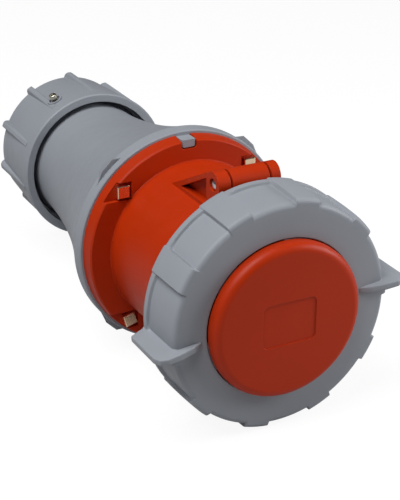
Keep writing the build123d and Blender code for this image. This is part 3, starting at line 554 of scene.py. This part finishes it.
def panel_depth(settings, degrees, y, front, rear):
    """How deep the ring's side lies under its pads, at a clock angle and a distance along the axis."""
    inside = metres_into_panel(settings, degrees)
    wall = rear - settings.panel_margin
    ahead = wall - y
    corner = settings.panel_corner
    within = min(inside, ahead)
    if inside < corner and ahead < corner:
        within = corner - math.hypot(corner - inside, corner - ahead)
    share = (y - front) / (wall - front)
    floor = settings.panel_depth + (settings.panel_rear_depth - settings.panel_depth) * share
    lip = settings.lip_depth * ease(inside, settings.softness)
    return lip + (floor - settings.lip_depth) * ease(within, settings.softness)


def ring_angles(settings):
    """Clock angles round the ring, close together at the sides of the pads."""
    sides = [side for pad in pad_table(settings) for side in pad]
    steps = range(-CLOSE_STEPS, CLOSE_STEPS + 1)
    close = sorted(side + step * CLOSE_STEP for side in sides for step in steps)
    angles = []
    for near, far in zip(close, close[1:] + [close[0] + 360.0]):
        count = math.ceil((far - near) / WIDE_STEP)
        angles += [near + (far - near) * index / count for index in range(count)]
    return angles


def ring_side(settings, degrees, front, rear):
    """The ring's side at a clock angle, from its front corner to its rear rim, as (radius, y) points."""
    sunk = ease(metres_into_panel(settings, degrees), settings.softness)
    corner = settings.pad_round + (settings.panel_round - settings.pad_round) * sunk
    wall = rear - settings.panel_margin
    places = []
    for step in range(CORNER_ROWS + 1):
        turn = math.pi / 2 * step / CORNER_ROWS
        places.append((front + corner * (1.0 - math.cos(turn)), corner * (1.0 - math.sin(turn))))
    reach = wall - WALL_APPROACH - places[-1][0]
    places += [(front + corner + reach * step / FLOOR_ROWS, 0.0) for step in range(1, FLOOR_ROWS + 1)]
    places += [(wall + WALL_STEP * step, 0.0) for step in range(-WALL_ROWS, WALL_ROWS + 1)]
    places += [(rear - RIM_ROW, 0.0), (rear - RIM_EDGE, 0.0)]
    side = []
    for y, drop in places:
        ahead = max(0.0, 1.0 - (y - front) / (wall - front))
        taper = settings.pad_taper * (1.0 - sunk) * ahead * ahead
        side.append((settings.radius - panel_depth(settings, degrees, y, front, rear) - taper - drop, y))
    return side


def ring_loop(settings, degrees, front, rear):
    """The ring's section at a clock angle, as a closed loop of points."""
    inner = settings.radius - settings.wall
    mouth = settings.mouth
    wall_rear = front + settings.front_wall
    loop = [(mouth, wall_rear), (mouth, front + MOUTH_EDGE), (mouth + MOUTH_EDGE, front)]
    loop += [(mouth + out, front) for out in FACE_ROWS]
    loop += ring_side(settings, degrees, front, rear)
    last = loop[-1][0]
    loop += [(last - RIM_BEVEL, rear - RIM_BEVEL), (last - RIM_EDGE, rear), (inner, rear)]
    loop += [(inner, wall_rear + INNER_BEVEL), (inner - INNER_BEVEL, wall_rear)]
    return [clock_point(reach, y, degrees) for reach, y in loop]


def fill_wings(work, settings, front, rear):
    """The ring's two wings: thin fins with a ridge that runs down over the front face."""
    seat = settings.radius - settings.panel_depth
    top = settings.radius + settings.wing_height
    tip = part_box("bayonet_ring")[0].y
    foot = settings.mouth + RIDGE_FOOT_OUT
    outline = [
        (seat, rear - WING_SET_BACK),
        (settings.radius - WING_SINK, rear - WING_SET_BACK),
        (top, rear - WING_REAR_SLOPE),
        (top, tip + WING_NOSE),
        (top - WING_NOSE_CUT, tip + WING_NOSE_CUT),
        (top - WING_NOSE, tip),
        (settings.radius - RIDGE_TOP_DROP, tip + RIDGE_TOP_BACK),
        (settings.mouth + RIDGE_END_OUT, tip + RIDGE_END_BACK),
        (foot, front - RIDGE_FOOT_RISE),
        (foot, front + WING_ROOT),
        (seat, front + WING_ROOT),
    ]
    half = settings.wing_thickness / 2
    rows = [[Vector((x, y, z)) for z, y in outline] for x in (-half, half)]
    join_rows(work, rows)
    bmesh.ops.bevel(
        work,
        geom=list(work.edges),
        offset=settings.wing_edge,
        offset_type="OFFSET",
        segments=4,
        profile=0.5,
        clamp_overlap=True,
        affect="EDGES",
    )
    first = list(work.verts)
    copied = bmesh.ops.duplicate(work, geom=list(work.verts) + list(work.edges) + list(work.faces))["geom"]
    second = [element for element in copied if isinstance(element, bmesh.types.BMVert)]
    for verts, degrees in zip((first, second), WINGS):
        bmesh.ops.rotate(work, verts=verts, matrix=Matrix.Rotation(math.radians(degrees), 3, "Y"))


def fill_catches(work, settings, front, rear):
    """The six snap tongues that hold the ring on the lid, and the four lugs that draw it home."""
    mouth = settings.mouth
    tongue_front = front + TONGUE_SET_BACK
    tongue_rear = tongue_front + TONGUE_LENGTH
    tongue = [
        (mouth - TONGUE_REACH, tongue_front),
        (mouth + CATCH_ROOT, tongue_front),
        (mouth + CATCH_ROOT, tongue_rear),
        (mouth - TONGUE_REACH + TONGUE_BEVEL, tongue_rear),
        (mouth - TONGUE_REACH, tongue_rear - TONGUE_BEVEL),
    ]
    for index in range(SNAPS):
        clock_block(work, tongue, index * 360.0 / SNAPS, SNAP_SPAN)
    inner = settings.radius - settings.wall
    lug = [
        (inner - LUG_REACH, rear - LUG_FRONT),
        (inner + CATCH_ROOT, rear - LUG_FRONT),
        (inner + CATCH_ROOT, rear - LUG_REAR),
        (inner - LUG_REACH, rear - LUG_REAR),
    ]
    for degrees in LUGS:
        clock_block(work, lug, degrees - LUG_SPAN / 2, LUG_SPAN)


class CONNECTOR_OT_stage(Operator):
    """Set up the floor, the soft lights, the surroundings and the camera"""

    bl_idname = "connector.stage"
    bl_label = "Stage"

    def execute(self, context):
        settings = context.scene.connector_stage
        scene = context.scene
        self.add_floor(scene, settings)
        self.add_surroundings(scene, settings)
        low, high = CAD_BOX
        middle = (low + high) / 2
        self.add_light(scene, "Key light", middle + KEY_PLACE, middle, KEY_WIDTH, settings.key_power)
        self.add_light(scene, "Fill light", middle + FILL_PLACE, middle, FILL_WIDTH, settings.fill_power)
        self.add_camera(scene, settings)
        scene.view_settings.view_transform = "Standard"
        return {"FINISHED"}

    def add_floor(self, scene, settings):
        """A wide pale floor that the camera sees as near white, with a soft shadow left on it."""
        half = settings.floor_size
        work = bmesh.new()
        bmesh.ops.create_grid(work, x_segments=1, y_segments=1, size=half)
        data = bpy.data.meshes.new("Floor")
        work.to_mesh(data)
        work.free()
        floor = bpy.data.objects.new("Floor", data)
        floor.location = (0.0, 0.0, CAD_BOX[0].z)
        scene.collection.objects.link(floor)
        material, tree = blank_material("Pale floor")
        pale = node(tree, "ShaderNodeBsdfDiffuse", {"Color": (*settings.floor_colour, 1.0)})
        white = node(tree, "ShaderNodeEmission", {"Color": (1.0, 1.0, 1.0, 1.0), "Strength": FLOOR_GLOW})
        path = node(tree, "ShaderNodeLightPath")
        share = node(
            tree,
            "ShaderNodeMath",
            {0: path.outputs["Is Camera Ray"], 1: settings.floor_white},
            operation="MULTIPLY",
        )
        mix = node(
            tree,
            "ShaderNodeMixShader",
            {"Fac": share.outputs["Value"], 1: pale.outputs["BSDF"], 2: white.outputs["Emission"]},
        )
        node(tree, "ShaderNodeOutputMaterial", {"Surface": mix.outputs["Shader"]})
        data.materials.append(material)

    def add_surroundings(self, scene, settings):
        """An even sky that lights at its own strength and shows as white."""
        world = bpy.data.worlds.new("Surroundings")
        world.use_nodes = True
        tree = world.node_tree
        tree.nodes.clear()
        path = node(tree, "ShaderNodeLightPath")
        strength = node(
            tree,
            "ShaderNodeMapRange",
            {"Value": path.outputs["Is Camera Ray"], "To Min": settings.sky, "To Max": 1.0},
        )
        sky = node(
            tree,
            "ShaderNodeBackground",
            {"Color": (1.0, 1.0, 1.0, 1.0), "Strength": strength.outputs["Result"]},
        )
        node(tree, "ShaderNodeOutputWorld", {"Surface": sky.outputs["Background"]})
        scene.world = world

    def add_light(self, scene, name, place, target, width, power):
        """A square soft light that faces a target."""
        data = bpy.data.lights.new(name, "AREA")
        data.shape = "SQUARE"
        data.size = width
        data.energy = power
        lamp = bpy.data.objects.new(name, data)
        lamp.location = place
        lamp.rotation_euler = (target - place).to_track_quat("-Z", "Y").to_euler()
        scene.collection.objects.link(lamp)

    def add_camera(self, scene, settings):
        """The photograph's point of view."""
        data = bpy.data.cameras.new("Camera")
        data.lens = settings.camera_lens
        data.clip_start = 0.01
        data.clip_end = 50.0
        camera = bpy.data.objects.new("Camera", data)
        camera.location = settings.camera_place
        turn = Matrix.Rotation(settings.camera_turn, 3, "Z")
        tilt = Matrix.Rotation(settings.camera_tilt, 3, "X")
        roll = Matrix.Rotation(settings.camera_roll, 3, "Z")
        camera.rotation_euler = (turn @ tilt @ roll).to_euler()
        scene.collection.objects.link(camera)
        scene.camera = camera


class CONNECTOR_OT_red_mouldings(Operator):
    """Finish the front housing and the lid in red moulded plastic"""

    bl_idname = "connector.red_mouldings"
    bl_label = "Red mouldings"

    def execute(self, context):
        settings = context.scene.connector_plastic
        wear(RED_MOULDINGS, moulded_plastic("Red polyamide", settings.red, settings, settings.edge_round))
        return {"FINISHED"}


class CONNECTOR_OT_grey_mouldings(Operator):
    """Finish the rear housing and the gland nut in grey moulded plastic"""

    bl_idname = "connector.grey_mouldings"
    bl_label = "Grey mouldings"

    def execute(self, context):
        settings = context.scene.connector_plastic
        wear(GREY_MOULDINGS, moulded_plastic("Grey polyamide", settings.grey, settings, settings.edge_round))
        return {"FINISHED"}


class CONNECTOR_OT_ring(Operator):
    """Build the bayonet ring with its pads, wings, snap tongues and lugs"""

    bl_idname = "connector.ring"
    bl_label = "Bayonet ring"

    def execute(self, context):
        settings = context.scene.connector_ring
        plastic = context.scene.connector_plastic
        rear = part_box("bayonet_ring")[1].y
        front = rear - settings.length

        def fill_skin(work):
            rows = [ring_loop(settings, degrees, front, rear) for degrees in ring_angles(settings)]
            join_rows(work, rows, ring=True)

        ring = mesh_piece("ring_moulding", fill_skin)
        fuse(ring, mesh_piece("ring_wings", lambda work: fill_wings(work, settings, front, rear)))
        fuse(ring, mesh_piece("ring_catches", lambda work: fill_catches(work, settings, front, rear)))
        grey = moulded_plastic("Ring polyamide", plastic.grey, plastic, plastic.edge_round)
        finish_piece(ring, grey, "bayonet_ring", "bayonet_ring", RING_SHARP)
        return {"FINISHED"}


class CONNECTOR_OT_flange_screws(Operator):
    """Build the square-headed screws that hold the two housings together"""

    bl_idname = "connector.flange_screws"
    bl_label = "Flange screws"

    def execute(self, context):
        settings = context.scene.connector_screws
        low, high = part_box("flange_screws")
        seat = low.y + settings.head_length
        half = settings.side / 2
        inner = half - settings.edge

        def fill_heads(work):
            sections = ((inner, low.y), (half, low.y + settings.edge), (half, seat))
            for clock, turn in zip(SCREW_CLOCKS, HEAD_TURNS):
                middle = clock_point(settings.circle, 0.0, clock)
                swing = Matrix.Rotation(math.radians(turn), 3, "Y")
                rows = []
                for reach, y in sections:
                    corners = ((-reach, -reach), (reach, -reach), (reach, reach), (-reach, reach))
                    rows.append([middle + swing @ Vector((x, y, z)) for x, z in corners])
                join_rows(work, rows)

        def fill_shanks(work):
            for clock in SCREW_CLOCKS:
                middle = clock_point(settings.circle, 0.0, clock)
                turns = [index * 360.0 / SHANK_SIDES for index in range(SHANK_SIDES)]
                circle = [clock_point(settings.shank, 0.0, turn) for turn in turns]
                ends = (seat - SHANK_OVERLAP, high.y)
                join_rows(work, [[middle + point + Vector((0.0, y, 0.0)) for point in circle] for y in ends])

        screws = mesh_piece("square_screws", fill_heads)
        fuse(screws, mesh_piece("screw_shanks", fill_shanks))
        metal = context.scene.connector_metal
        plating = plated_metal("Screw plating", metal.nickel, metal)
        finish_piece(screws, plating, "housing", "flange_screws", SCREW_SHARP)
        return {"FINISHED"}


class CONNECTOR_OT_hinge_pin(Operator):
    """Build the hinge pin with its domed head"""

    bl_idname = "connector.hinge_pin"
    bl_label = "Hinge pin"

    def execute(self, context):
        settings = context.scene.connector_pin
        low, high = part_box("hinge_pin")
        head = (high.z - low.z) / 2
        left = low.x - settings.head_rise
        seat = left + settings.head_length
        middle_y = (low.y + high.y) / 2
        middle_z = (low.z + high.z) / 2
        dome = settings.head_length * DOME_SHARE
        profile = []
        for step in range(1, DOME_ROWS + 1):
            turn = math.pi / 2 * step / DOME_ROWS
            profile.append((left + dome * (1.0 - math.cos(turn)), head * math.sin(turn)))
        profile += [(seat, head), (seat, settings.shaft), (high.x - PIN_BEVEL, settings.shaft)]
        profile.append((high.x, settings.shaft - PIN_BEVEL))

        def fill_pin(work):
            rows = []
            for x, radius in profile:
                row = []
                for index in range(PIN_SIDES):
                    turn = math.tau * index / PIN_SIDES
                    place = (x, middle_y + radius * math.cos(turn), middle_z + radius * math.sin(turn))
                    row.append(Vector(place))
                rows.append(row)
            join_rows(work, rows)

        pin = mesh_piece("domed_pin", fill_pin)
        metal = context.scene.connector_metal
        zinc = plated_metal("Pin zinc", metal.steel, metal)
        finish_piece(pin, zinc, "housing", "hinge_pin", PIN_SHARP)
        return {"FINISHED"}


class CONNECTOR_OT_insulators(Operator):
    """Finish the contact carrier, its plate and the gland's inner parts"""

    bl_idname = "connector.insulators"
    bl_label = "Insulators and gland inserts"

    def execute(self, context):
        settings = context.scene.connector_plastic
        wear(INSULATORS, moulded_plastic("Insulator", settings.insulator, settings, settings.edge_round))
        wear(GLAND_INSERTS, moulded_plastic("Black polyamide", settings.black, settings, settings.edge_round))
        return {"FINISHED"}


class CONNECTOR_OT_seals(Operator):
    """Finish the gaskets and the cable seal in rubber"""

    bl_idname = "connector.seals"
    bl_label = "Seals"

    def execute(self, context):
        wear(RUBBER_SEALS, soft_rubber("Rubber", context.scene.connector_rubber))
        return {"FINISHED"}


class CONNECTOR_OT_metal(Operator):
    """Finish the contacts, the inner screws, the nuts and the lock screw in their metals"""

    bl_idname = "connector.metal"
    bl_label = "Contacts and fasteners"

    def execute(self, context):
        settings = context.scene.connector_metal
        wear(BRASS_CONTACTS, plated_metal("Turned brass", settings.brass, settings, (0.2, 3.0, 0.2)))
        wear(PLATED_STEEL, plated_metal("Nickel plate", settings.nickel, settings))
        wear(BRIGHT_STEEL, plated_metal("Bright zinc", settings.steel, settings))
        wear(YELLOW_STEEL, plated_metal("Yellow zinc", settings.yellow, settings))
        return {"FINISHED"}


class VIEW3D_PT_connector(Panel):
    """Sizes, colours and steps of the connector's looks"""

    bl_label = "Connector"
    bl_space_type = "VIEW_3D"
    bl_region_type = "UI"
    bl_category = "Connector"

    def draw(self, context):
        for name in SETTINGS:
            settings = getattr(context.scene, name)
            box = self.layout.box()
            for key in settings.bl_rna.properties.keys():
                if key not in ("rna_type", "name"):
                    box.prop(settings, key)
        for step in STEPS:
            self.layout.operator(step.bl_idname)


SETTINGS = {
    "connector_plastic": PlasticSettings,
    "connector_metal": MetalSettings,
    "connector_rubber": RubberSettings,
    "connector_ring": RingSettings,
    "connector_pin": PinSettings,
    "connector_screws": ScrewSettings,
    "connector_stage": StageSettings,
}
STEPS = (
    CONNECTOR_OT_stage,
    CONNECTOR_OT_red_mouldings,
    CONNECTOR_OT_grey_mouldings,
    CONNECTOR_OT_ring,
    CONNECTOR_OT_hinge_pin,
    CONNECTOR_OT_flange_screws,
    CONNECTOR_OT_insulators,
    CONNECTOR_OT_seals,
    CONNECTOR_OT_metal,
)


def register():
    """Register the settings, the steps and the panel."""
    for settings in SETTINGS.values():
        bpy.utils.register_class(settings)
    for name, settings in SETTINGS.items():
        setattr(bpy.types.Scene, name, PointerProperty(type=settings))
    for step in STEPS:
        bpy.utils.register_class(step)
    bpy.utils.register_class(VIEW3D_PT_connector)


def unregister():
    """Take everything that register added away again."""
    bpy.utils.unregister_class(VIEW3D_PT_connector)
    for step in reversed(STEPS):
        bpy.utils.unregister_class(step)
    for name, settings in SETTINGS.items():
        delattr(bpy.types.Scene, name)
        bpy.utils.unregister_class(settings)


def main():
    """Dress the frame and set the stage."""
    register()
    bpy.ops.connector.stage()
    bpy.ops.connector.red_mouldings()
    bpy.ops.connector.grey_mouldings()
    bpy.ops.connector.ring()
    bpy.ops.connector.hinge_pin()
    bpy.ops.connector.flange_screws()
    bpy.ops.connector.insulators()
    bpy.ops.connector.seals()
    bpy.ops.connector.metal()


if __name__ == "__main__":
    main()
